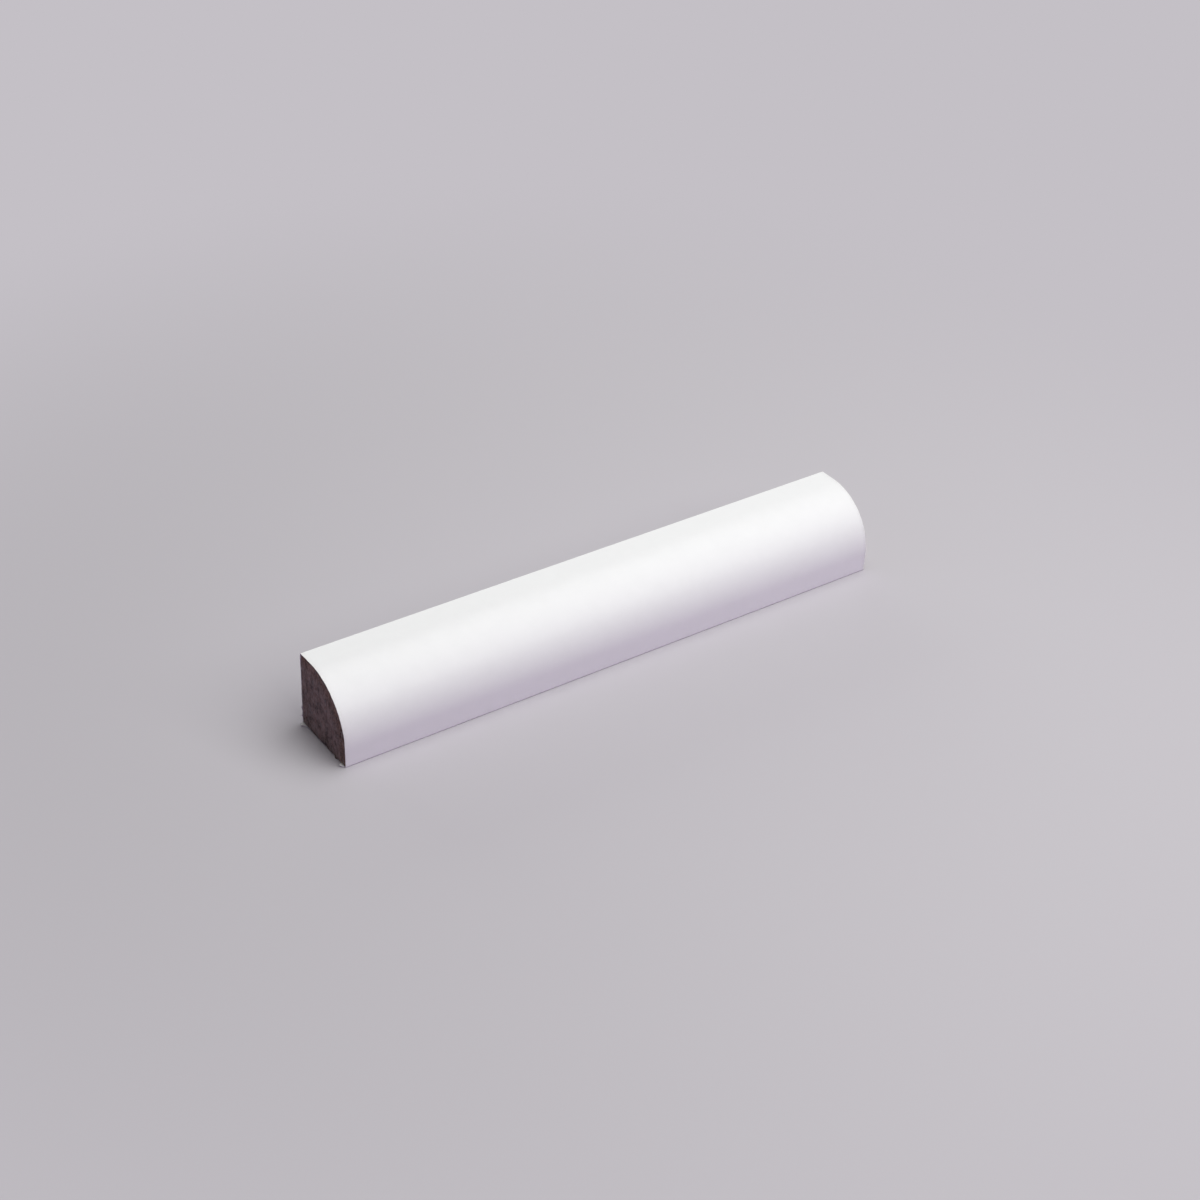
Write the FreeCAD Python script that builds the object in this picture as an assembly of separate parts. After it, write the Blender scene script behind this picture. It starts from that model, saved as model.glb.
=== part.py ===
import FreeCAD, Part
import math
import os

# Quarter round moulding, cut to a short length: a fibreboard core that is milled to a quarter round,
# and a thin white film that is wrapped and glued round its show face and its back.
# The film bends round the three arrises and ends in two narrow lips under the base, where the core is bare.
# Frame: X along the length, +Y to the back, which goes against the wall, -Y to the room, +Z up.
# The origin is at the middle of the length and width, on the floor.

# Driving dimensions, in millimetres
LENGTH = 148.0  # between the two square saw cuts
ROUND_RADIUS = 14.3  # outside of the film
TOP_FLAT = 4.7  # level run from the round to the back
TOE_FLAT = 4.7  # upright run from the round to the floor
FILM_THICKNESS = 0.18
CORE_ARRIS = 0.12  # radius of the core's three corners
TOE_LIP = 2.4  # film turned under the base, measured from the front of the toe
HEEL_LIP = 3.3  # film turned under the base, measured from the back

# Worked out from the driving dimensions
WIDTH = ROUND_RADIUS + TOP_FLAT
HEIGHT = ROUND_RADIUS + TOE_FLAT
FRONT = -WIDTH / 2
BACK = WIDTH / 2
FILM_ARRIS = CORE_ARRIS + FILM_THICKNESS
ROUND_CENTRE = (FRONT + ROUND_RADIUS, HEIGHT - ROUND_RADIUS)
TOE_LIP_EDGE = FRONT + TOE_LIP
HEEL_LIP_EDGE = BACK - HEEL_LIP

RIGHT, UP, LEFT, DOWN = (math.radians(angle) for angle in (0, 90, 180, 270))


def at(y, z):
    """Point of the section, in the plane of the left-hand saw cut."""
    return FreeCAD.Vector(-LENGTH / 2, y, z)


def line(start, end):
    return Part.LineSegment(at(*start), at(*end)).toShape()


def quarter(centre, radius, start, end):
    """Quarter circle from the start angle to the end angle, measured from +Y towards +Z."""
    points = [
        at(centre[0] + radius * math.cos(angle), centre[1] + radius * math.sin(angle))
        for angle in (start, (start + end) / 2, end)
    ]
    return Part.Arc(*points).toShape()


def skin_path(inset):
    """Edges of the section at a depth below the film's outside: from the toe up the front, over the round
    and the top, and down the back to the heel, with the arrises at the toe, the top and the heel."""
    front, back = FRONT + inset, BACK - inset
    low, high = inset, HEIGHT - inset
    arris = FILM_ARRIS - inset
    toe_arris = (front + arris, low + arris)
    top_arris = (back - arris, high - arris)
    heel_arris = (back - arris, low + arris)
    return [
        quarter(toe_arris, arris, DOWN, LEFT),
        line((front, toe_arris[1]), (front, ROUND_CENTRE[1])),
        quarter(ROUND_CENTRE, ROUND_RADIUS - inset, LEFT, UP),
        line((ROUND_CENTRE[0], high), (top_arris[0], high)),
        quarter(top_arris, arris, UP, RIGHT),
        line((back, top_arris[1]), (back, heel_arris[1])),
        quarter(heel_arris, arris, RIGHT, RIGHT - UP),
    ]


def lip_edges(inset, base_toe, base_heel):
    """The two straight edges under the base, from the arrises to the edges of the film."""
    return [
        line((TOE_LIP_EDGE, inset), (base_toe, inset)),
        line((base_heel, inset), (HEEL_LIP_EDGE, inset)),
    ]


def extruded(edges):
    """A solid of the closed section, carried along the full length."""
    section = Part.Face(Part.Wire(edges))
    return section.extrude(FreeCAD.Vector(LENGTH, 0, 0))


def fibreboard_core():
    base = line((BACK - FILM_ARRIS, FILM_THICKNESS), (FRONT + FILM_ARRIS, FILM_THICKNESS))
    return extruded(skin_path(FILM_THICKNESS) + [base])


def wrap_film():
    base_ends = (FRONT + FILM_ARRIS, BACK - FILM_ARRIS)
    outer_toe_lip, outer_heel_lip = lip_edges(0, *base_ends)
    inner_toe_lip, inner_heel_lip = lip_edges(FILM_THICKNESS, *base_ends)
    outside = [outer_toe_lip, *skin_path(0), outer_heel_lip]
    inside = [inner_toe_lip, *skin_path(FILM_THICKNESS), inner_heel_lip]
    heel_edge = line((HEEL_LIP_EDGE, 0), (HEEL_LIP_EDGE, FILM_THICKNESS))
    toe_edge = line((TOE_LIP_EDGE, FILM_THICKNESS), (TOE_LIP_EDGE, 0))
    return extruded(outside + [heel_edge] + inside[::-1] + [toe_edge])


def main():
    os.makedirs("parts", exist_ok=True)
    for piece in (fibreboard_core, wrap_film):
        solid = piece()
        solid.exportStep(f"parts/{piece.__name__}.step")
        print(f"{piece.__name__}: {solid.Volume:.1f} mm3, valid {solid.isValid()}, {len(solid.Faces)} faces")


main()
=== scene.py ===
import math

import bpy
import numpy as np
from mathutils import Matrix, Vector


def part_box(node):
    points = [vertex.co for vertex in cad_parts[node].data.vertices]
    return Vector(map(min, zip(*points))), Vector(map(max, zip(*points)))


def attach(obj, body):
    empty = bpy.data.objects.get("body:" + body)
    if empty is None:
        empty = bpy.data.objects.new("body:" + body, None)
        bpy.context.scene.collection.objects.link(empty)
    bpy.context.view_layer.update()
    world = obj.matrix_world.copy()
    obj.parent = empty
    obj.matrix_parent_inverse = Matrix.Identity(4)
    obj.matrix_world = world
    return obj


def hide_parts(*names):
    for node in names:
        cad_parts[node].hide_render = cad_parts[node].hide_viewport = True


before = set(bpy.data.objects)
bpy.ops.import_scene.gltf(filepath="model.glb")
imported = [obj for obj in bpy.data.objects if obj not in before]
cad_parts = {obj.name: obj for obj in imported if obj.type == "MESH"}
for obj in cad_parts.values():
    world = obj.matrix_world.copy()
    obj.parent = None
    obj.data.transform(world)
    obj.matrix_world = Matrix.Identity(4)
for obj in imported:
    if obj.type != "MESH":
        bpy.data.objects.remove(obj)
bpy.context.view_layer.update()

# A short sawn length of quarter round moulding: white film wrapped round a fibreboard core.
# Metres throughout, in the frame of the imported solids: X along the length, -Y to the room, Z up.
# The sawn end that the camera sees is at -X.

mm = 0.001
filmLow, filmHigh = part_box("wrap_film")
coreLow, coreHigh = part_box("fibreboard_core")
halfLength = filmHigh.x
front, back, height = filmLow.y, filmHigh.y, filmHigh.z
filmThickness = coreLow.z - filmLow.z
print(f"frame: {2 * halfLength / mm:.1f} mm long, legs {(back - front) / mm:.1f} and {height / mm:.1f} mm")

# Large odd factors that scatter the noise's whole numbers, and masks for the low 32 and 16 bits
scatter = {"u": 374761393, "v": 668265263, "seed": 974634777, "again": 1274126177}
lowWord, lowHalf = 0xFFFFFFFF, 0xFFFF


def latticeNoise(u, v, seed):
    # a fixed random number at each whole (u, v), eased between the four round the point; from -1 to 1
    wholeU, wholeV = np.floor(u).astype(np.int64), np.floor(v).astype(np.int64)
    partU, partV = u - wholeU, v - wholeV
    easeU, easeV = partU * partU * (3 - 2 * partU), partV * partV * (3 - 2 * partV)

    def cornerValue(a, b):
        mixed = (a * scatter["u"] + b * scatter["v"] + seed * scatter["seed"]) & lowWord
        mixed = ((mixed ^ (mixed >> 13)) * scatter["again"]) & lowWord
        return 2 * ((mixed ^ (mixed >> 16)) & lowHalf) / lowHalf - 1

    low = cornerValue(wholeU, wholeV) * (1 - easeU) + cornerValue(wholeU + 1, wholeV) * easeU
    high = cornerValue(wholeU, wholeV + 1) * (1 - easeU) + cornerValue(wholeU + 1, wholeV + 1) * easeU
    return low * (1 - easeV) + high * easeV


def layeredNoise(along, layers, seed):
    # along a line, the sum of each layer's share times its noise; a layer is a size, a share and a row
    return sum(share * latticeNoise(along / size, np.full_like(along, row), seed)
               for size, share, row in layers)


def nearCut(distance, depth):
    # 1 at the cut, falling to 0 as a parabola over the depth
    return np.clip(1 - distance / depth, 0, 1) ** 2


def stationsAlong(count, crowding):
    # places along X: a tanh of even steps, which crowds them towards both saw cuts
    even = np.linspace(-1, 1, count)
    return halfLength * np.tanh(crowding * even) / math.tanh(crowding)


def ringQuads(rings):
    # rings holds point numbers: a row for each station, once round the closed profile; faces look outwards
    onward = np.roll(rings, -1, axis=1)
    return np.stack([rings[:-1], rings[1:], onward[1:], onward[:-1]], -1).reshape(-1, 4)


def pieceFrom(name, points, quads, sharpDegrees=30):
    mesh = bpy.data.meshes.new(name)
    mesh.vertices.add(len(points))
    mesh.vertices.foreach_set("co", points.astype(np.float32).ravel())
    mesh.loops.add(quads.size)
    mesh.loops.foreach_set("vertex_index", quads.astype(np.int32).ravel())
    mesh.polygons.add(len(quads))
    mesh.polygons.foreach_set("loop_start", np.arange(0, quads.size, 4, dtype=np.int32))
    mesh.polygons.foreach_set("use_smooth", np.ones(len(quads), dtype=bool))
    mesh.update(calc_edges=True)
    mesh.validate()
    mesh.set_sharp_from_angle(angle=math.radians(sharpDegrees))
    piece = bpy.data.objects.new(name, mesh)
    bpy.context.scene.collection.objects.link(piece)
    return piece


def paintPoints(piece, name, values):
    # a value for each point of the mesh, which a material reads by its name
    painted = piece.data.attributes.new(name, "FLOAT", "POINT")
    painted.data.foreach_set("value", values.astype(np.float32))


# The skin line is the outside of the film, from its edge under the toe, up the front, over the round and the
# top, and down the back to its edge under the heel. Girth is the distance along it.
section = {
    "roundRadius": 14.3 * mm,
    "arrisRadius": 0.3 * mm,  # where the film bends round the toe, the top and the heel
    "toeLip": 2.4 * mm,  # film under the base, from the front
    "heelLip": 3.3 * mm,  # film under the base, from the back
    "arcPoints": 400,
}
roundCentre = (front + section["roundRadius"], height - section["roundRadius"])


def straightRun(start, end):
    # a line from start to end; its normal is its direction turned a quarter to the left
    start, end = np.array(start), np.array(end)
    along = (end - start) / np.linalg.norm(end - start)
    normal = np.array([-along[1], along[0]])
    return np.array([start, end]), np.array([normal, normal])


def roundRun(centre, radius, fromDegrees, toDegrees):
    # a circle's centre plus its radius times the (cosine, sine) of the angle; that pair is also the normal
    angle = np.radians(np.linspace(fromDegrees, toDegrees, section["arcPoints"]))
    normal = np.stack([np.cos(angle), np.sin(angle)], 1)
    return np.array(centre) + radius * normal, normal


def runLengths(points):
    # distance along a line of points, from its start to each of them
    return np.append(0, np.cumsum(np.linalg.norm(np.diff(points, axis=0), axis=1)))


def skinLine():
    arris = section["arrisRadius"]
    toe, top, heel = (front + arris, arris), (back - arris, height - arris), (back - arris, arris)
    runs = {
        "toeLip": straightRun((front + section["toeLip"], 0), (toe[0], 0)),
        "toe": roundRun(toe, arris, 270, 180),
        "front": straightRun((front, toe[1]), (front, roundCentre[1])),
        "round": roundRun(roundCentre, section["roundRadius"], 180, 90),
        "flat": straightRun((roundCentre[0], height), (top[0], height)),
        "top": roundRun(top, arris, 90, 0),
        "back": straightRun((back, top[1]), (back, heel[1])),
        "heel": roundRun(heel, arris, 0, -90),
        "heelLip": straightRun((heel[0], 0), (back - section["heelLip"], 0)),
    }
    points = np.concatenate([run[0] for run in runs.values()])
    normals = np.concatenate([run[1] for run in runs.values()])
    girth = runLengths(points)
    ends = girth[np.cumsum([len(run[0]) for run in runs.values()]) - 1]
    starts = np.append(0, ends[:-1])
    return girth, points, normals, dict(zip(runs, zip(starts, ends)))


skinGirth, skinPoints, skinNormals, skinRuns = skinLine()


def onSkin(girth):
    # points and normals of the skin line at these girths
    place = np.stack([np.interp(girth, skinGirth, skinPoints[:, k]) for k in (0, 1)], -1)
    normal = np.stack([np.interp(girth, skinGirth, skinNormals[:, k]) for k in (0, 1)], -1)
    return place, normal / np.linalg.norm(normal, axis=-1, keepdims=True)


def cornerGirth(corner):
    # halfway along the corner's run
    return sum(skinRuns[corner]) / 2


# The wrapped film
film = {
    "stations": 132,
    "crowding": 2.9,
    "girthSamples": 20000,
    "girthSteps": {  # spacing of the points along each run of the skin line, and where the film is torn
        "toeLip": 0.2 * mm, "toe": 0.07 * mm, "front": 0.3 * mm, "round": 0.3 * mm, "flat": 0.3 * mm,
        "top": 0.07 * mm, "back": 0.2 * mm, "heel": 0.07 * mm, "heelLip": 0.2 * mm, "torn": 0.045 * mm,
    },
    "sharpDegrees": 35,
    "waveHeight": 0.002 * mm,  # slow swells that the core gives the film
    "waveLengths": (31 * mm, 13 * mm),
    "waveAcross": 1.8,  # how many times shorter they are round the section
    "waveSeed": 3,
    "cutRagged": 0.03 * mm,  # unevenness of the sawn edges
    "cutLayers": ((0.9 * mm, 1.0, 0), (0.25 * mm, 0.5, 7)),
    "cutDepth": 0.5 * mm,
    "cutSeeds": (1, 2),  # near edge, far edge
    "trimRagged": 0.09 * mm,  # unevenness of the knife-cut edges under the base
    "trimLength": 7 * mm,
    "trimDepth": 1.5 * mm,
    "trimSeed": 6,
    # film that the saw tore: corner, girth from it towards the heel, half width, reach past the saw cut, and
    # how many degrees it curls over the core by its tip
    "tornBits": (
        ("toe", -1.1 * mm, 0.8 * mm, 0.95 * mm, 50),
        ("heel", -4.2 * mm, 0.5 * mm, 0.26 * mm, 30),
        ("heel", -2.1 * mm, 0.45 * mm, 0.38 * mm, 40),
        ("heel", 0.9 * mm, 1.1 * mm, 1.2 * mm, 42),
    ),
    "tornLayers": ((0.2 * mm, 0.35, 3),),
    "tornSeed": 5,
    "tornDepth": 1.6 * mm,  # how far from the cut the film is drawn out
    "tornThinning": 0.7,
    "thinDepth": 0.9 * mm,
    "plainCurl": 0.01,  # in radians, where nothing is torn
    "cleanEdges": (("top", 0.5 * mm, 2.2 * mm), ("heel", 1.2 * mm, 2.6 * mm)),  # where the cut kept its white
    "loose": ("top", 1.9 * mm, 1.7 * mm),  # film that came off the core: corner, girth from it, half width
    "looseLift": 0.14 * mm,
    "looseDepth": 2.6 * mm,
}


def hump(girth, corner, offset, halfWidth):
    # a parabola over the width, 1 at its middle and 0 outside
    across = (girth - cornerGirth(corner) - offset) / halfWidth
    return np.clip(1 - across ** 2, 0, 1)


def filmGirths():
    # points for each metre of girth, from the steps; a point lies where their running sum is a whole number
    girth = np.linspace(0, skinGirth[-1], film["girthSamples"])
    density = np.zeros_like(girth)
    for run, (start, end) in skinRuns.items():
        density[(girth >= start) & (girth <= end)] = 1 / film["girthSteps"][run]
    for corner, offset, halfWidth, _, _ in film["tornBits"]:
        density[hump(girth, corner, offset, halfWidth) > 0] = 1 / film["girthSteps"]["torn"]
    passed = np.append(0, np.cumsum(density[1:] * np.diff(girth)))
    return np.interp(np.linspace(0, passed[-1], round(passed[-1]) + 1), passed, girth)


def tornEdge(girth):
    # reach: each torn bit's hump, made uneven by noise; curl, in radians: that of the bit that reaches there
    reach, curl = np.zeros_like(girth), np.full_like(girth, film["plainCurl"])
    uneven = 1 + layeredNoise(girth, film["tornLayers"], film["tornSeed"])
    for corner, offset, halfWidth, bitReach, degrees in film["tornBits"]:
        bit = hump(girth, corner, offset, halfWidth)
        reach += bitReach * bit * uneven
        curl = np.where(bit > 0, math.radians(degrees), curl)
    return reach, curl


def filmLayers(girth, along):
    # the film's outside and inside: a row for each station along X, a column for each girth
    skin, normal = onSkin(girth)
    reach, curl = tornEdge(girth)
    fromNear, fromFar = (along + halfLength)[:, None], (halfLength - along)[:, None]
    # length: the station, moved by the ragged edges, and drawn out past the near cut by the torn bits
    nearEdge, farEdge = (film["cutRagged"] * layeredNoise(girth, film["cutLayers"], seed)
                         for seed in film["cutSeeds"])
    x = along[:, None] - nearEdge * nearCut(fromNear, film["cutDepth"])
    x = x + farEdge * nearCut(fromFar, film["cutDepth"])
    x = x - reach * nearCut(fromNear, film["tornDepth"])
    # what is past the cut follows an arc that is as long as the bit and turns by its curl
    bend = np.maximum(reach, film["cutRagged"]) / curl
    turn = np.clip(-halfLength - x, 0, None) / bend
    x = np.maximum(x, -halfLength) - bend * np.sin(turn)
    curled = bend * (1 - np.cos(turn))
    # height off the skin line: slow swells, none under the base, and the film that came loose behind the top
    swell = sum(latticeNoise(x / size, film["waveAcross"] * girth / size + 0 * x, film["waveSeed"])
                * size / film["waveLengths"][0] for size in film["waveLengths"])
    offCore = film["waveHeight"] * swell * np.clip(normal[:, 1] + 1, 0, 1)
    lift = film["looseLift"] * hump(girth, *film["loose"])
    offCore = offCore + lift * nearCut(fromNear, film["looseDepth"]) - curled
    thinned = film["tornThinning"] * nearCut(fromNear, film["thinDepth"]) * reach / reach.max()
    thickness = filmThickness * (1 - thinned)
    # the trimmed edges under the base wander in Y
    toTrim = np.minimum(girth, girth[-1] - girth)
    trimLine = latticeNoise(x / film["trimLength"], np.sign(skin[:, 0]) + 0 * x, film["trimSeed"])
    wander = film["trimRagged"] * nearCut(toTrim, film["trimDepth"]) * trimLine
    layers = []
    for depth in (0 * thickness, thickness):
        y = skin[:, 0] + (offCore - depth) * normal[:, 0] + wander
        z = skin[:, 1] + (offCore - depth) * normal[:, 1]
        layers.append(np.stack([x + depth * np.sin(turn), y, z], -1))
    return layers


def wrappedFilm():
    girth, along = filmGirths(), stationsAlong(film["stations"], film["crowding"])
    outside, inside = filmLayers(girth, along)
    points = np.concatenate([outside, inside[:, ::-1]], 1)
    rings = np.arange(points.shape[0] * points.shape[1]).reshape(points.shape[:2])
    out, within = rings[:, :len(girth)], rings[:, :len(girth) - 1:-1]
    capNear = np.stack([out[0, :-1], out[0, 1:], within[0, 1:], within[0, :-1]], -1)
    capFar = np.stack([out[-1, :-1], within[-1, :-1], within[-1, 1:], out[-1, 1:]], -1)
    quads = np.concatenate([ringQuads(rings), capNear, capFar])
    piece = pieceFrom("whiteFilm", points.reshape(-1, 3), quads, film["sharpDegrees"])
    dust = 1 - np.maximum.reduce([hump(girth, *edge) for edge in film["cleanEdges"]])
    paintPoints(piece, "sawDust", np.tile(np.append(dust, dust[::-1]), len(along)))
    return piece


# The fibreboard core
core = {
    "cells": 136,  # along each side of a sawn end's grid
    "arrisPoints": 6,
    "stations": 48,
    "crowding": 2.4,
    "sharpDegrees": 40,
    "glueGap": 0.01 * mm,
    "endSeeds": (21, 41),  # near end, far end
    "warp": 0.9 * mm,  # how far the strands wander
    "warpSize": 1.9 * mm,
    "strandHeight": 0.035 * mm,
    "strandSize": (0.7 * mm, 1.3 * mm),  # in Y and Z
    "strandLevel": 0.4,  # what counts as the plane of the cut
    "grainHeight": 0.018 * mm,
    "grainSize": 0.34 * mm,
    "pitDepth": 0.07 * mm,
    "pitSize": 0.6 * mm,
    "pitLevel": 0.5,  # noise above it makes a pit
    "sawMarkHeight": 0.008 * mm,
    "sawMarkSpacing": 0.85 * mm,
    "sawMarkDrift": 2.0,  # in radians
    "driftSize": 4 * mm,
    "bladeCentre": (-70 * mm, 95 * mm),  # of the saw blade, in Y and Z
    "edgeCrumble": 0.07 * mm,  # how far the core sinks below the film's edge
    "crumbleDepth": 0.3 * mm,
    "fray": 0.22 * mm,  # chips and hanging fibres along the base
    "frayLayers": ((2.4 * mm, 1.0, 0), (1.0 * mm, 0.6, 0), (0.4 * mm, 0.5, 0)),
    "frayLift": 0.2,
    "frayUp": 1.3 * mm,  # how far it shows up the sawn end
    "frayAlong": 0.9 * mm,  # and along the base
    "lipTaper": 0.4 * mm,
    "floorGap": 0.02 * mm,
    "tuft": {"y": -5.4 * mm, "halfWidth": 0.7 * mm, "reach": 0.3 * mm},  # pushed out at the near end's base
    "planerLines": 0.012 * mm,
    "planerSize": (0.45 * mm, 60 * mm),  # in Y and X
    "planerSeed": 61,
    "bareBand": 0.05 * mm,  # height of what counts as base
}


def roundDepth(y, z):
    # distance in from the front and the top, or in its quarter from the round
    radius = section["roundRadius"] - filmThickness
    inRound = (y < roundCentre[0]) & (z > roundCentre[1])
    fromFlats = np.minimum(y - coreLow.y, coreHigh.z - z)
    return np.where(inRound, radius - np.hypot(y - roundCentre[0], z - roundCentre[1]), fromFlats)


def skinDepth(y, z):
    # distance in from the whole outline: the least of those from the show side, the back and the base
    return np.minimum.reduce([roundDepth(y, z), coreHigh.y - y, z - coreLow.z])


def coreOutline():
    # four sides of the core's section, each from one end to the other in even steps
    inset = filmThickness + core["glueGap"]

    def side(startGirth, endGirth, count=core["cells"] + 1):
        skin, normal = onSkin(np.linspace(startGirth, endGirth, count))
        return skin - inset * normal

    toe, crown, top, heel = (cornerGirth(name) for name in ("toe", "round", "top", "heel"))
    left, over, right = side(toe, crown), side(crown, top), side(heel, top)
    # the base is the heel and toe arrises with the straight line between them
    toeArris = side(toe, skinRuns["toe"][0], core["arrisPoints"])
    heelArris = side(skinRuns["heel"][1], heel, core["arrisPoints"])
    line = np.concatenate([toeArris, heelArris])
    run = runLengths(line)
    even = np.linspace(0, run[-1], core["cells"] + 1)
    base = np.stack([np.interp(even, run, line[:, k]) for k in (0, 1)], -1)
    return base, over, left, right


def sectionGrid(base, over, left, right):
    # blend of the two facing pairs of sides, less the blend of the four corners
    u = np.linspace(0, 1, core["cells"] + 1)[:, None, None]
    v = np.linspace(0, 1, core["cells"] + 1)[None, :, None]
    sides = (1 - v) * base[:, None] + v * over[:, None] + (1 - u) * left[None] + u * right[None]
    corners = (1 - u) * (1 - v) * base[0] + u * (1 - v) * base[-1] + (1 - u) * v * over[0] + u * v * over[-1]
    return sides - corners


def sawnRelief(y, z, seed):
    # strands are 1 less the size of noise, warped by slower noise; grain and pits are finer noise; the saw's
    # marks are waves in the distance from the blade's centre; the outline crumbles a little
    def evenNoise(size, step):
        return latticeNoise(y / size, z / size, seed + step)

    warp = core["warp"] * evenNoise(core["warpSize"], 0)
    wide, tall = core["strandSize"]
    strands = 1 - np.abs(latticeNoise((y + warp) / wide, (z - warp) / tall, seed + 1))
    grain = evenNoise(core["grainSize"], 2)
    pits = np.clip(evenNoise(core["pitSize"], 3) - core["pitLevel"], 0, 1)
    radius = np.hypot(y - core["bladeCentre"][0], z - core["bladeCentre"][1])
    drift = core["sawMarkDrift"] * evenNoise(core["driftSize"], 4)
    marks = np.sin(2 * np.pi * radius / core["sawMarkSpacing"] + drift)
    relief = core["strandHeight"] * (strands ** 3 - core["strandLevel"]) + core["grainHeight"] * grain
    relief = relief - core["pitDepth"] * pits
    crumble = core["edgeCrumble"] * np.exp(-skinDepth(y, z) / core["crumbleDepth"])
    return relief + core["sawMarkHeight"] * marks - crumble


def baseFray(y, seed):
    # layers of noise along the base: chips up into the core, and fibres that hang almost to the floor
    fromLip = np.minimum(y - front - section["toeLip"], back - section["heelLip"] - y)
    chips = layeredNoise(y, core["frayLayers"], seed)
    lift = np.maximum(core["fray"] * (chips + core["frayLift"]), core["floorGap"] - coreLow.z)
    return lift * np.clip(fromLip / core["lipTaper"], 0, 1)


def sawnEnd(grid, side, seed):
    # the plane of the cut plus its relief, with a parabola for the tuft; the lower edge moves by the fray
    y, z = grid[..., 0], grid[..., 1]
    relief = sawnRelief(y, z, seed)
    low = nearCut(z - coreLow.z, core["frayUp"])
    if side < 0:
        tuft = core["tuft"]
        across = (y - tuft["y"]) / tuft["halfWidth"]
        relief = relief + tuft["reach"] * low * np.clip(1 - across ** 2, 0, 1)
    return np.stack([side * (halfLength + relief), y, z + low * baseFray(y, seed)], -1)


def fibreboardCore():
    grid = sectionGrid(*coreOutline())
    ends = [sawnEnd(grid, side, seed) for side, seed in zip((-1, 1), core["endSeeds"])]
    count = core["cells"] + 1
    numbers = np.arange(count * count).reshape(count, count)
    outline = np.concatenate([numbers[0, :-1], numbers[:-1, -1], numbers[-1, :0:-1], numbers[:0:-1, 0]])
    # the long sides: the outline carried along X, with planer lines and frayed ends on the bare base
    ring = grid.reshape(-1, 2)[outline]
    along = stationsAlong(core["stations"], core["crowding"])[1:-1]
    bare = nearCut(ring[:, 1] - coreLow.z - core["glueGap"], core["bareBand"])
    x, y = along[:, None] + 0 * ring[:, 0], ring[:, 0] + 0 * along[:, None]
    wide, far = core["planerSize"]
    planer = core["planerLines"] * latticeNoise(y / wide, x / far, core["planerSeed"])
    frayed = sum(baseFray(y, seed) * nearCut(distance, core["frayAlong"])
                 for distance, seed in zip((x + halfLength, halfLength - x), core["endSeeds"]))
    sides = np.stack([x, y, ring[:, 1] + bare * (planer + frayed)], -1)
    points = np.concatenate([ends[0].reshape(-1, 3), ends[1].reshape(-1, 3), sides.reshape(-1, 3)])
    carried = 2 * count * count + np.arange(sides.shape[0] * sides.shape[1]).reshape(sides.shape[:2])
    rings = np.concatenate([outline[None], carried, outline[None] + count * count])
    cell = [numbers[:-1, :-1], numbers[:-1, 1:], numbers[1:, 1:], numbers[1:, :-1]]
    nearFaces = np.stack(cell, -1).reshape(-1, 4)
    farFaces = np.stack(cell[::-1], -1).reshape(-1, 4) + count * count
    quads = np.concatenate([nearFaces, farFaces, ringQuads(rings)])
    piece = pieceFrom("sawnCore", points, quads, core["sharpDegrees"])
    paintPoints(piece, "roundDepth", roundDepth(points[:, 1], points[:, 2]) / mm)
    return piece


# Materials
def screenColour(red, green, blue):
    # screen values 0 to 255 as the linear colour that a shader takes
    share = np.array([red, green, blue]) / 255
    linear = np.where(share <= 0.04045, share / 12.92, ((share + 0.055) / 1.055) ** 2.4)
    return (*linear.tolist(), 1.0)


def setInputs(tree, node, inputs):
    # a socket of another node is linked; anything else is the input's own value
    for key, value in inputs.items():
        if isinstance(value, bpy.types.NodeSocket):
            tree.links.new(value, node.inputs[key])
        else:
            node.inputs[key].default_value = value


def addNode(tree, kind, inputs=None, **settings):
    made = tree.nodes.new(kind)
    for key, value in settings.items():
        setattr(made, key, value)
    setInputs(tree, made, inputs or {})
    return made


def mathNode(tree, operation, first, second=0.0):
    return addNode(tree, "ShaderNodeMath", {0: first, 1: second}, operation=operation).outputs[0]


def plus(tree, first, second):
    return mathNode(tree, "ADD", first, second)


def times(tree, first, second):
    return mathNode(tree, "MULTIPLY", first, second)


def rangeNode(tree, value, fromLow, fromHigh, toLow=0.0, toHigh=1.0):
    limits = {"From Min": fromLow, "From Max": fromHigh, "To Min": toLow, "To Max": toHigh}
    return addNode(tree, "ShaderNodeMapRange", {"Value": value, **limits}).outputs["Result"]


def noiseNode(tree, vector, **inputs):
    return addNode(tree, "ShaderNodeTexNoise", {"Vector": vector, **inputs}).outputs["Fac"]


def axisOf(tree, vector, axis):
    return addNode(tree, "ShaderNodeSeparateXYZ", {0: vector}).outputs[axis]


def facing(tree, axis):
    # how far a face looks along the axis, from -1 to 1
    return axisOf(tree, addNode(tree, "ShaderNodeNewGeometry").outputs["True Normal"], axis)


def paintedValue(tree, name):
    return addNode(tree, "ShaderNodeAttribute", attribute_name=name).outputs["Fac"]


def stretched(tree, place, scale):
    return addNode(tree, "ShaderNodeMapping", {"Vector": place, "Scale": scale}).outputs["Vector"]


def bumped(tree, heights, distance):
    return addNode(tree, "ShaderNodeBump", {"Height": heights, "Distance": distance}).outputs["Normal"]


def mixColours(tree, share, first, second):
    # inputs 6 and 7 of a mix node are its two colours, and output 2 is their mixture
    inputs = {"Factor": share, 6: first, 7: second}
    return addNode(tree, "ShaderNodeMix", inputs, data_type="RGBA").outputs[2]


def addGroup(tree, group, inputs):
    return addNode(tree, "ShaderNodeGroup", inputs, node_tree=group).outputs


def newGroup(name, inputs, outputs):
    group = bpy.data.node_groups.new(name, "ShaderNodeTree")
    for label, kind in inputs.items():
        group.interface.new_socket(label, in_out="INPUT", socket_type=kind)
    for label, kind in outputs.items():
        group.interface.new_socket(label, in_out="OUTPUT", socket_type=kind)
    return group, group.nodes.new("NodeGroupInput").outputs, group.nodes.new("NodeGroupOutput")


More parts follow.
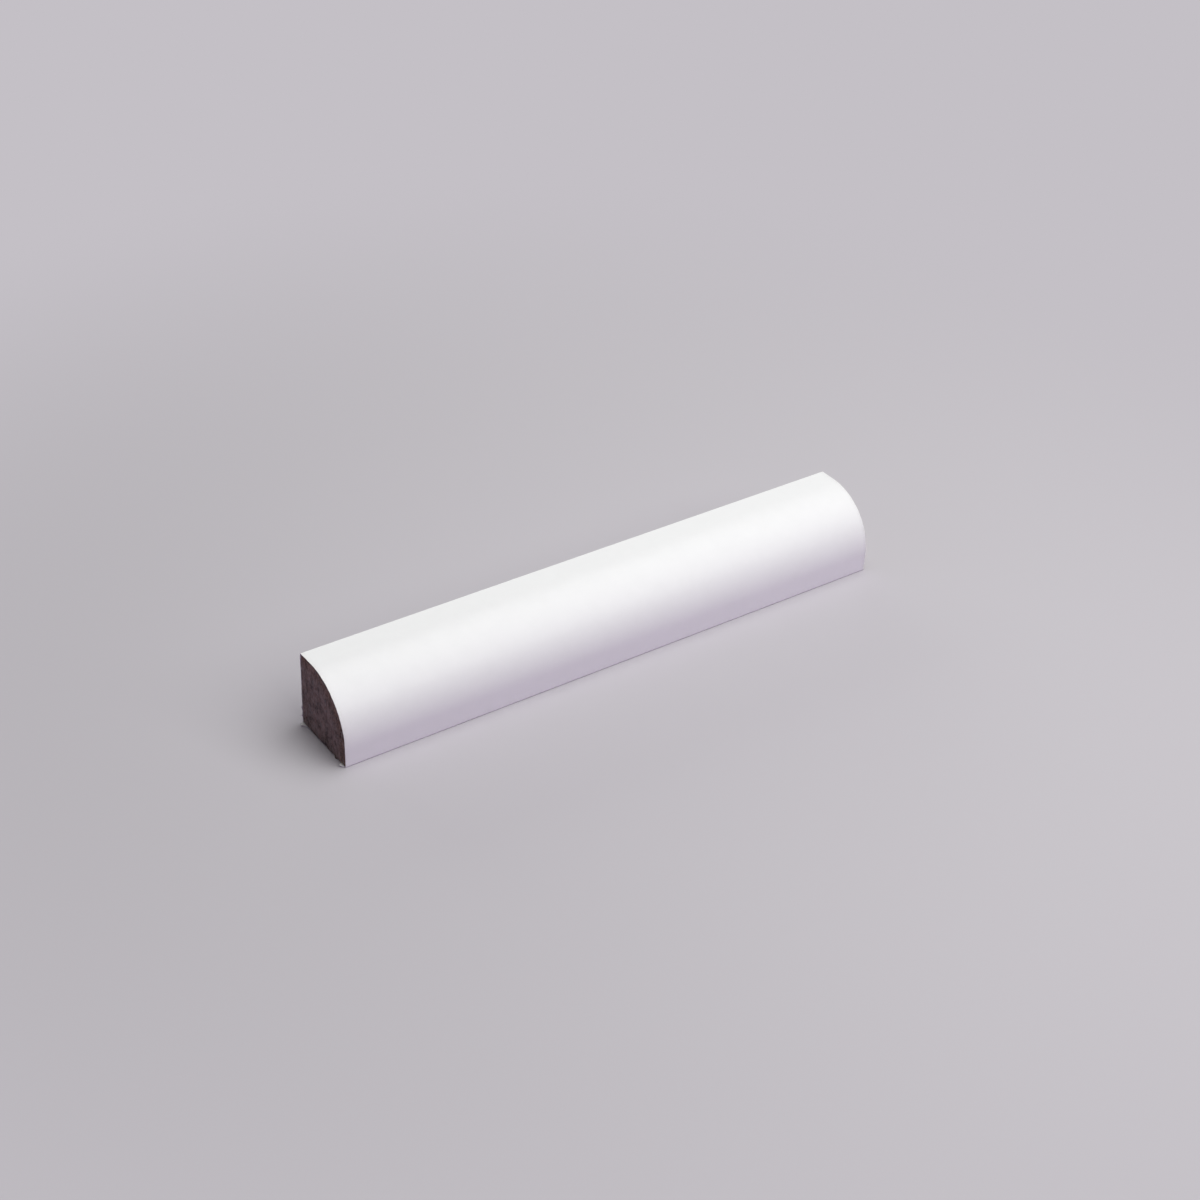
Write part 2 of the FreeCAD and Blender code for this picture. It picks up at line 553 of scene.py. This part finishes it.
fleckNoise = {
    "cloud": {"Detail": 5.0, "Roughness": 0.62},
    "cloudRange": (0.3, 0.7),
    "spots": {"Detail": 2.0, "Distortion": 0.8},
    "spotScale": 2.6,  # how much finer the spots are
    "spotEdge": 0.1,
}
crumbNoise = {"crumbs": {"Scale": 2600.0, "Detail": 3.0}, "crumbRange": (0.35, 0.65)}


def makeFleckGroup():
    # mottle is soft cloudy noise, fleck is sparse spots, both from 0 to 1
    inputs = {"Vector": "NodeSocketVector", "Scale": "NodeSocketFloat", "Spots": "NodeSocketFloat"}
    outputs = {"Mottle": "NodeSocketFloat", "Fleck": "NodeSocketFloat"}
    group, entry, leave = newGroup("fleckAndMottle", inputs, outputs)
    vector, scale, level = entry["Vector"], entry["Scale"], entry["Spots"]
    cloud = noiseNode(group, vector, Scale=scale, **fleckNoise["cloud"])
    finer = times(group, scale, fleckNoise["spotScale"])
    spots = noiseNode(group, vector, Scale=finer, **fleckNoise["spots"])
    mottle = rangeNode(group, cloud, *fleckNoise["cloudRange"])
    fleck = rangeNode(group, spots, level, plus(group, level, fleckNoise["spotEdge"]))
    setInputs(group, leave, {"Mottle": mottle, "Fleck": fleck})
    return group


def makeCutGroup():
    # 1 at the saw cuts, falling to 0 over the depth, broken up by noise
    inputs = {"Vector": "NodeSocketVector", "Depth": "NodeSocketFloat"}
    group, entry, leave = newGroup("besideTheCut", inputs, {"Mask": "NodeSocketFloat"})
    x = mathNode(group, "ABSOLUTE", axisOf(group, entry["Vector"], "X"))
    share = mathNode(group, "DIVIDE", mathNode(group, "SUBTRACT", halfLength, x), entry["Depth"])
    crumbs = noiseNode(group, entry["Vector"], **crumbNoise["crumbs"])
    broken = rangeNode(group, crumbs, *crumbNoise["crumbRange"])
    setInputs(group, leave, {"Mask": times(group, rangeNode(group, share, 1.0, 0.0), broken)})
    return group


fleckGroup, cutGroup = makeFleckGroup(), makeCutGroup()


def newMaterial(name):
    material = bpy.data.materials.new(name)
    material.use_nodes = True
    tree = material.node_tree
    place = addNode(tree, "ShaderNodeTexCoord").outputs["Object"]
    return material, tree, tree.nodes["Principled BSDF"], place


filmLook = {
    "white": screenColour(243, 243, 244),
    "shade": screenColour(241, 241, 242),
    "cloud": {"Scale": 260.0, "Spots": 0.7},
    "dust": screenColour(168, 152, 142),
    "dustDepth": 1.2 * mm,
    "dustShare": 0.16,
    "sawnEdge": screenColour(113, 102, 93),  # core dust, smeared over the film's own cut edge
    "edgePast": (0.2 * mm, 0.08 * mm),  # past the saw cut: where the smear ends, and where it is whole
    "edgeFacing": (0.6, 0.8),
    "edgeShare": (0.62, 0.95),
    "roughness": (0.36, 0.41),
    "specular": 0.33,
    "peel": {"Scale": 1300.0, "Detail": 2.0},
    "lines": {"Scale": 2600.0, "Detail": 3.0},
    "lineStretch": (0.012, 1.0, 1.0),
    "lineShare": 0.5,
    "speckShare": 0.8,
    "bumpHeight": 0.004 * mm,
}


def sawnEdgeMask(tree, place, mottle):
    # faces that look along X, in the plane of the saw cuts; the torn bits past it stay clean
    alongX = rangeNode(tree, mathNode(tree, "ABSOLUTE", facing(tree, "X")), *filmLook["edgeFacing"])
    x = mathNode(tree, "ABSOLUTE", axisOf(tree, place, "X"))
    inPlane = rangeNode(tree, x, *(halfLength + past for past in filmLook["edgePast"]))
    smeared = times(tree, rangeNode(tree, mottle, 0.0, 1.0, *filmLook["edgeShare"]), inPlane)
    return times(tree, times(tree, alongX, smeared), paintedValue(tree, "sawDust"))


def satinFilm():
    material, tree, shader, place = newMaterial("satinFilm")
    cloud = addGroup(tree, fleckGroup, {"Vector": place, **filmLook["cloud"]})
    cut = addGroup(tree, cutGroup, {"Vector": place, "Depth": filmLook["dustDepth"]})
    white = mixColours(tree, cloud["Mottle"], filmLook["white"], filmLook["shade"])
    dusty = mixColours(tree, times(tree, cut["Mask"], filmLook["dustShare"]), white, filmLook["dust"])
    colour = mixColours(tree, sawnEdgeMask(tree, place, cloud["Mottle"]), dusty, filmLook["sawnEdge"])
    # height: orange peel, lines drawn along the length, and a few specks under the film
    peel = noiseNode(tree, place, **filmLook["peel"])
    lines = noiseNode(tree, stretched(tree, place, filmLook["lineStretch"]), **filmLook["lines"])
    heights = plus(tree, peel, times(tree, lines, filmLook["lineShare"]))
    heights = plus(tree, heights, times(tree, cloud["Fleck"], filmLook["speckShare"]))
    setInputs(tree, shader, {
        "Base Color": colour,
        "Roughness": rangeNode(tree, cloud["Mottle"], 0.0, 1.0, *filmLook["roughness"]),
        "Normal": bumped(tree, heights, filmLook["bumpHeight"]),
        "Specular IOR Level": filmLook["specular"],
    })
    return material


coreLook = {
    "sheetStretch": (1.0, 1.0, 0.6),  # the fibres lie in sheets, parallel to the back
    "fibres": {"Scale": 1500.0, "Spots": 0.6},
    "sheets": {"Scale": 480.0, "Spots": 0.57},
    "barkStretch": (1.0, 0.8, 0.9),
    "bark": {"Scale": 620.0, "Spots": 0.6},
    "fibreShare": 0.45,  # shares of the two mottles in the tone
    "sheetShare": 0.55,
    "strands": {"Scale": 3600.0, "Detail": 4.0, "Distortion": 1.4},
    "strandTone": (0.25, 0.75, -0.13, 0.13),  # range of the noise, and what it adds to the tone at both ends
    "leastShadeAt": (0.0, 3.5 * mm, 12.5 * mm),  # painted shade is least here; the sawn end darkens away from it, towards the toe, as the light falls off
    "paintedShadeTone": (2 * mm, 14 * mm, 0.05, -0.09),  # range of the distance, and what the painted shade adds
    "baseLightAndFray": (0.3 * mm, 2.4 * mm, 0.09, 0.0),  # range of the height, and what it adds: painted light against the floor's contact shadow, and the paler broken fibres at the base
    "planedFacing": (-0.5, -0.8),
    "planedTone": (0.0, 1.0, -0.07, 0.11),
    "streaks": {"Scale": 1400.0, "Detail": 3.0},
    "streakStretch": (0.05, 1.0, 1.0),
    "streakTone": (0.25, 0.75, 0.36, 0.54),
    "toneRange": (0.19, 0.74),
    "dark": screenColour(62, 57, 51),
    "fibre": screenColour(168, 155, 139),
    "warmDark": screenColour(65, 50, 37),
    "warmFibre": screenColour(174, 143, 116),
    "warmDepth": (3.6, 0.6),  # in mm below the film of the round: where the warm tone starts and is whole
    "warmPatches": (0.2, 0.8, 0.95, 0.4),  # range of the sheets' mottle, and the warm share at both ends
    "pale": screenColour(179, 167, 151),
    "paleShare": 0.7,
    "russet": screenColour(152, 106, 86),
    "russetShare": 0.4,
    "ash": screenColour(140, 141, 131),
    "ashShare": 0.7,
    "crushDepth": 0.5 * mm,  # paler fibre, crushed by the saw
    "crushShare": 0.12,
    "roughness": (0.96, 0.86),
    "specular": 0.25,
    "bumpHeight": 0.03 * mm,
}


def paintedLightAndShade(tree, place):
    # painted shade: a straight fall of tone with the distance from its lightest point, measured across the
    # section; and painted light: paler with less height above the floor, against the contact shadow there and
    # for the paler broken fibres of the fray
    across = stretched(tree, place, (0.0, 1.0, 1.0))
    apart = addNode(tree, "ShaderNodeVectorMath", {0: across, 1: coreLook["leastShadeAt"]}, operation="DISTANCE")
    # painted shade: darker with the distance from its lightest point, towards the toe
    paintedShade = rangeNode(tree, apart.outputs["Value"], *coreLook["paintedShadeTone"])
    # painted light: paler near the floor, against the contact shadow there, and the paler broken fibres of
    # the fray
    return plus(tree, paintedShade, rangeNode(tree, axisOf(tree, place, "Z"), *coreLook["baseLightAndFray"]))


def planedBlend(tree, place, mottle, sawn):
    # faces that look down are planed: evener than the sawn ends, with streaks along the length
    streaks = noiseNode(tree, stretched(tree, place, coreLook["streakStretch"]), **coreLook["streaks"])
    even = plus(tree, rangeNode(tree, streaks, *coreLook["streakTone"]),
                rangeNode(tree, mottle, *coreLook["planedTone"]))
    planed = rangeNode(tree, facing(tree, "Z"), *coreLook["planedFacing"])
    return plus(tree, sawn, times(tree, mathNode(tree, "SUBTRACT", even, sawn), planed))


def rawFibreboard():
    material, tree, shader, place = newMaterial("rawFibreboard")
    upright = stretched(tree, place, coreLook["sheetStretch"])
    fibres = addGroup(tree, fleckGroup, {"Vector": upright, **coreLook["fibres"]})
    sheets = addGroup(tree, fleckGroup, {"Vector": upright, **coreLook["sheets"]})
    barkPlace = stretched(tree, place, coreLook["barkStretch"])
    bark = addGroup(tree, fleckGroup, {"Vector": barkPlace, **coreLook["bark"]})
    cut = addGroup(tree, cutGroup, {"Vector": place, "Depth": coreLook["crushDepth"]})
    # tone: both mottles and the strands, then the painted shade across the sawn end and the painted light at
    # its base, and the planed base in its own way
    blend = plus(tree, times(tree, fibres["Mottle"], coreLook["fibreShare"]),
                 times(tree, sheets["Mottle"], coreLook["sheetShare"]))
    strands = noiseNode(tree, place, **coreLook["strands"])
    blend = plus(tree, blend, rangeNode(tree, strands, *coreLook["strandTone"]))
    blend = plus(tree, blend, paintedLightAndShade(tree, place))
    blend = planedBlend(tree, place, fibres["Mottle"], blend)
    tone = rangeNode(tree, blend, *coreLook["toneRange"])
    # colour: the board's own, warmer in patches under the round, then the flecks and the crushed edge
    colour = mixColours(tree, tone, coreLook["dark"], coreLook["fibre"])
    warmColour = mixColours(tree, tone, coreLook["warmDark"], coreLook["warmFibre"])
    patches = rangeNode(tree, sheets["Mottle"], *coreLook["warmPatches"])
    depth = paintedValue(tree, "roundDepth")
    warm = times(tree, rangeNode(tree, depth, *coreLook["warmDepth"]), patches)
    colour = mixColours(tree, warm, colour, warmColour)
    for mask, shareName, tint in (
        (fibres["Fleck"], "paleShare", "pale"),
        (bark["Fleck"], "russetShare", "russet"),
        (sheets["Fleck"], "ashShare", "ash"),
        (cut["Mask"], "crushShare", "pale"),
    ):
        colour = mixColours(tree, times(tree, mask, coreLook[shareName]), colour, coreLook[tint])
    setInputs(tree, shader, {
        "Base Color": colour,
        "Roughness": rangeNode(tree, fibres["Mottle"], 0.0, 1.0, *coreLook["roughness"]),
        "Normal": bumped(tree, strands, coreLook["bumpHeight"]),
        "Specular IOR Level": coreLook["specular"],
    })
    return material


for piece, node, slot, material in (
    (wrappedFilm(), "wrap_film", "white_film", satinFilm()),
    (fibreboardCore(), "fibreboard_core", "fibreboard", rawFibreboard()),
):
    piece.data.materials.append(material)
    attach(piece, "root")
    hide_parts(node)
    print(f"{piece.name}: {2 * len(piece.data.polygons)} triangles, stands for {node}")


# Floor, light and camera
stage = {
    "floorHalf": 6.0,
    "floorColour": screenColour(196, 192, 198),
    "bounceColour": screenColour(163, 140, 176),  # what the floor throws back on the object
    "floorRoughness": 0.9,
    "floorSpecular": 0.1,
    "floorFade": (0.1, 0.28),  # radii where the lit floor starts to turn into its plain colour, and has
    "skyColour": screenColour(244, 224, 254),
    "skyStrength": 0.07,
}
softboxes = {  # size is along the moulding and across it
    "overhead": {
        "direction": (0.28, -0.31, 0.9), "distance": 0.7, "size": (0.75, 1.2), "watts": 7.6,
        "colour": (0.985, 0.998, 0.972),
    },
    "behind": {
        "direction": (0.15, 0.97, 0.22), "distance": 0.9, "size": (0.9, 0.35), "watts": 2.4,
        "colour": (0.93, 1.0, 0.9),
    },
}
photoView = {
    "aim": (1.704 * mm, 3.073 * mm, 9.5 * mm),
    "azimuth": -37.0,  # degrees; 0 looks along +Y
    "elevation": 34.4,
    "roll": 3.12,
    "distance": 506.9 * mm,
    "lens": 64.78,
    "sensorWidth": 36.0,
    "clip": (0.01, 50.0),
}


def straightRays(tree):
    # 1 for what the camera sees directly, or in gloss and glass
    rays = addNode(tree, "ShaderNodeLightPath").outputs
    seen = mathNode(tree, "MAXIMUM", rays["Is Camera Ray"], rays["Is Glossy Ray"])
    return mathNode(tree, "MAXIMUM", seen, rays["Is Transmission Ray"])


def mixShaders(tree, share, first, second, output):
    mix = addNode(tree, "ShaderNodeMixShader", {0: share, 1: first.outputs[0], 2: second.outputs[0]})
    setInputs(tree, tree.nodes[output], {"Surface": mix.outputs[0]})


def paleFloor():
    half = stage["floorHalf"]
    corners = np.array([[-half, -half, 0], [half, -half, 0], [half, half, 0], [-half, half, 0]])
    floor = pieceFrom("paleFloor", corners, np.array([[0, 1, 2, 3]]))
    material, tree, shader, place = newMaterial("floorPaint")
    seen = straightRays(tree)
    setInputs(tree, shader, {
        "Base Color": mixColours(tree, seen, stage["bounceColour"], stage["floorColour"]),
        "Roughness": stage["floorRoughness"],
        "Specular IOR Level": stage["floorSpecular"],
    })
    # away from the object the floor shows its plain colour, as the backdrop does
    radius = addNode(tree, "ShaderNodeVectorMath", {0: place}, operation="LENGTH").outputs["Value"]
    start, end = stage["floorFade"]
    limits = {"Value": radius, "From Min": start, "From Max": end}
    away = addNode(tree, "ShaderNodeMapRange", limits, interpolation_type="SMOOTHSTEP").outputs["Result"]
    plain = addNode(tree, "ShaderNodeEmission", {"Color": stage["floorColour"]})
    mixShaders(tree, times(tree, away, seen), shader, plain, "Material Output")
    floor.data.materials.append(material)


def studioSky():
    world = bpy.data.worlds.new("studioSky")
    world.use_nodes = True
    tree = world.node_tree
    light = tree.nodes["Background"]
    setInputs(tree, light, {"Color": stage["skyColour"], "Strength": stage["skyStrength"]})
    seen = addNode(tree, "ShaderNodeBackground", {"Color": stage["floorColour"], "Strength": 1.0})
    mixShaders(tree, straightRays(tree), light, seen, "World Output")
    bpy.context.scene.world = world


def softLight(name, box):
    lamp = bpy.data.lights.new(name, "AREA")
    lamp.shape = "RECTANGLE"
    lamp.size, lamp.size_y = box["size"]
    lamp.energy, lamp.color = box["watts"], box["colour"]
    holder = bpy.data.objects.new(name, lamp)
    towards = Vector(box["direction"]).normalized()
    across = towards.cross(Vector((1, 0, 0))).normalized()
    turned = Matrix((across.cross(towards), across, towards)).transposed().to_4x4()
    holder.matrix_world = Matrix.Translation(towards * box["distance"]) @ turned
    bpy.context.scene.collection.objects.link(holder)


def photoCamera():
    azimuth, elevation, roll = (math.radians(photoView[name]) for name in ("azimuth", "elevation", "roll"))
    level = Vector((math.sin(azimuth), -math.cos(azimuth), 0))
    backwards = level * math.cos(elevation) + Vector((0, 0, math.sin(elevation)))
    upright = backwards.to_track_quat("Z", "Y").to_matrix().to_4x4()
    place = Vector(photoView["aim"]) + backwards * photoView["distance"]
    lens = bpy.data.cameras.new("photoCamera")
    lens.lens, lens.sensor_width, lens.sensor_fit = photoView["lens"], photoView["sensorWidth"], "HORIZONTAL"
    lens.clip_start, lens.clip_end = photoView["clip"]
    camera = bpy.data.objects.new("photoCamera", lens)
    camera.matrix_world = Matrix.Translation(place) @ upright @ Matrix.Rotation(roll, 4, "Z")
    bpy.context.scene.collection.objects.link(camera)
    bpy.context.scene.camera = camera


paleFloor()
studioSky()
for name, box in softboxes.items():
    softLight(name, box)
photoCamera()
bpy.context.scene.view_settings.view_transform = "Standard"
print("stage: floor, lamps and camera are in place")
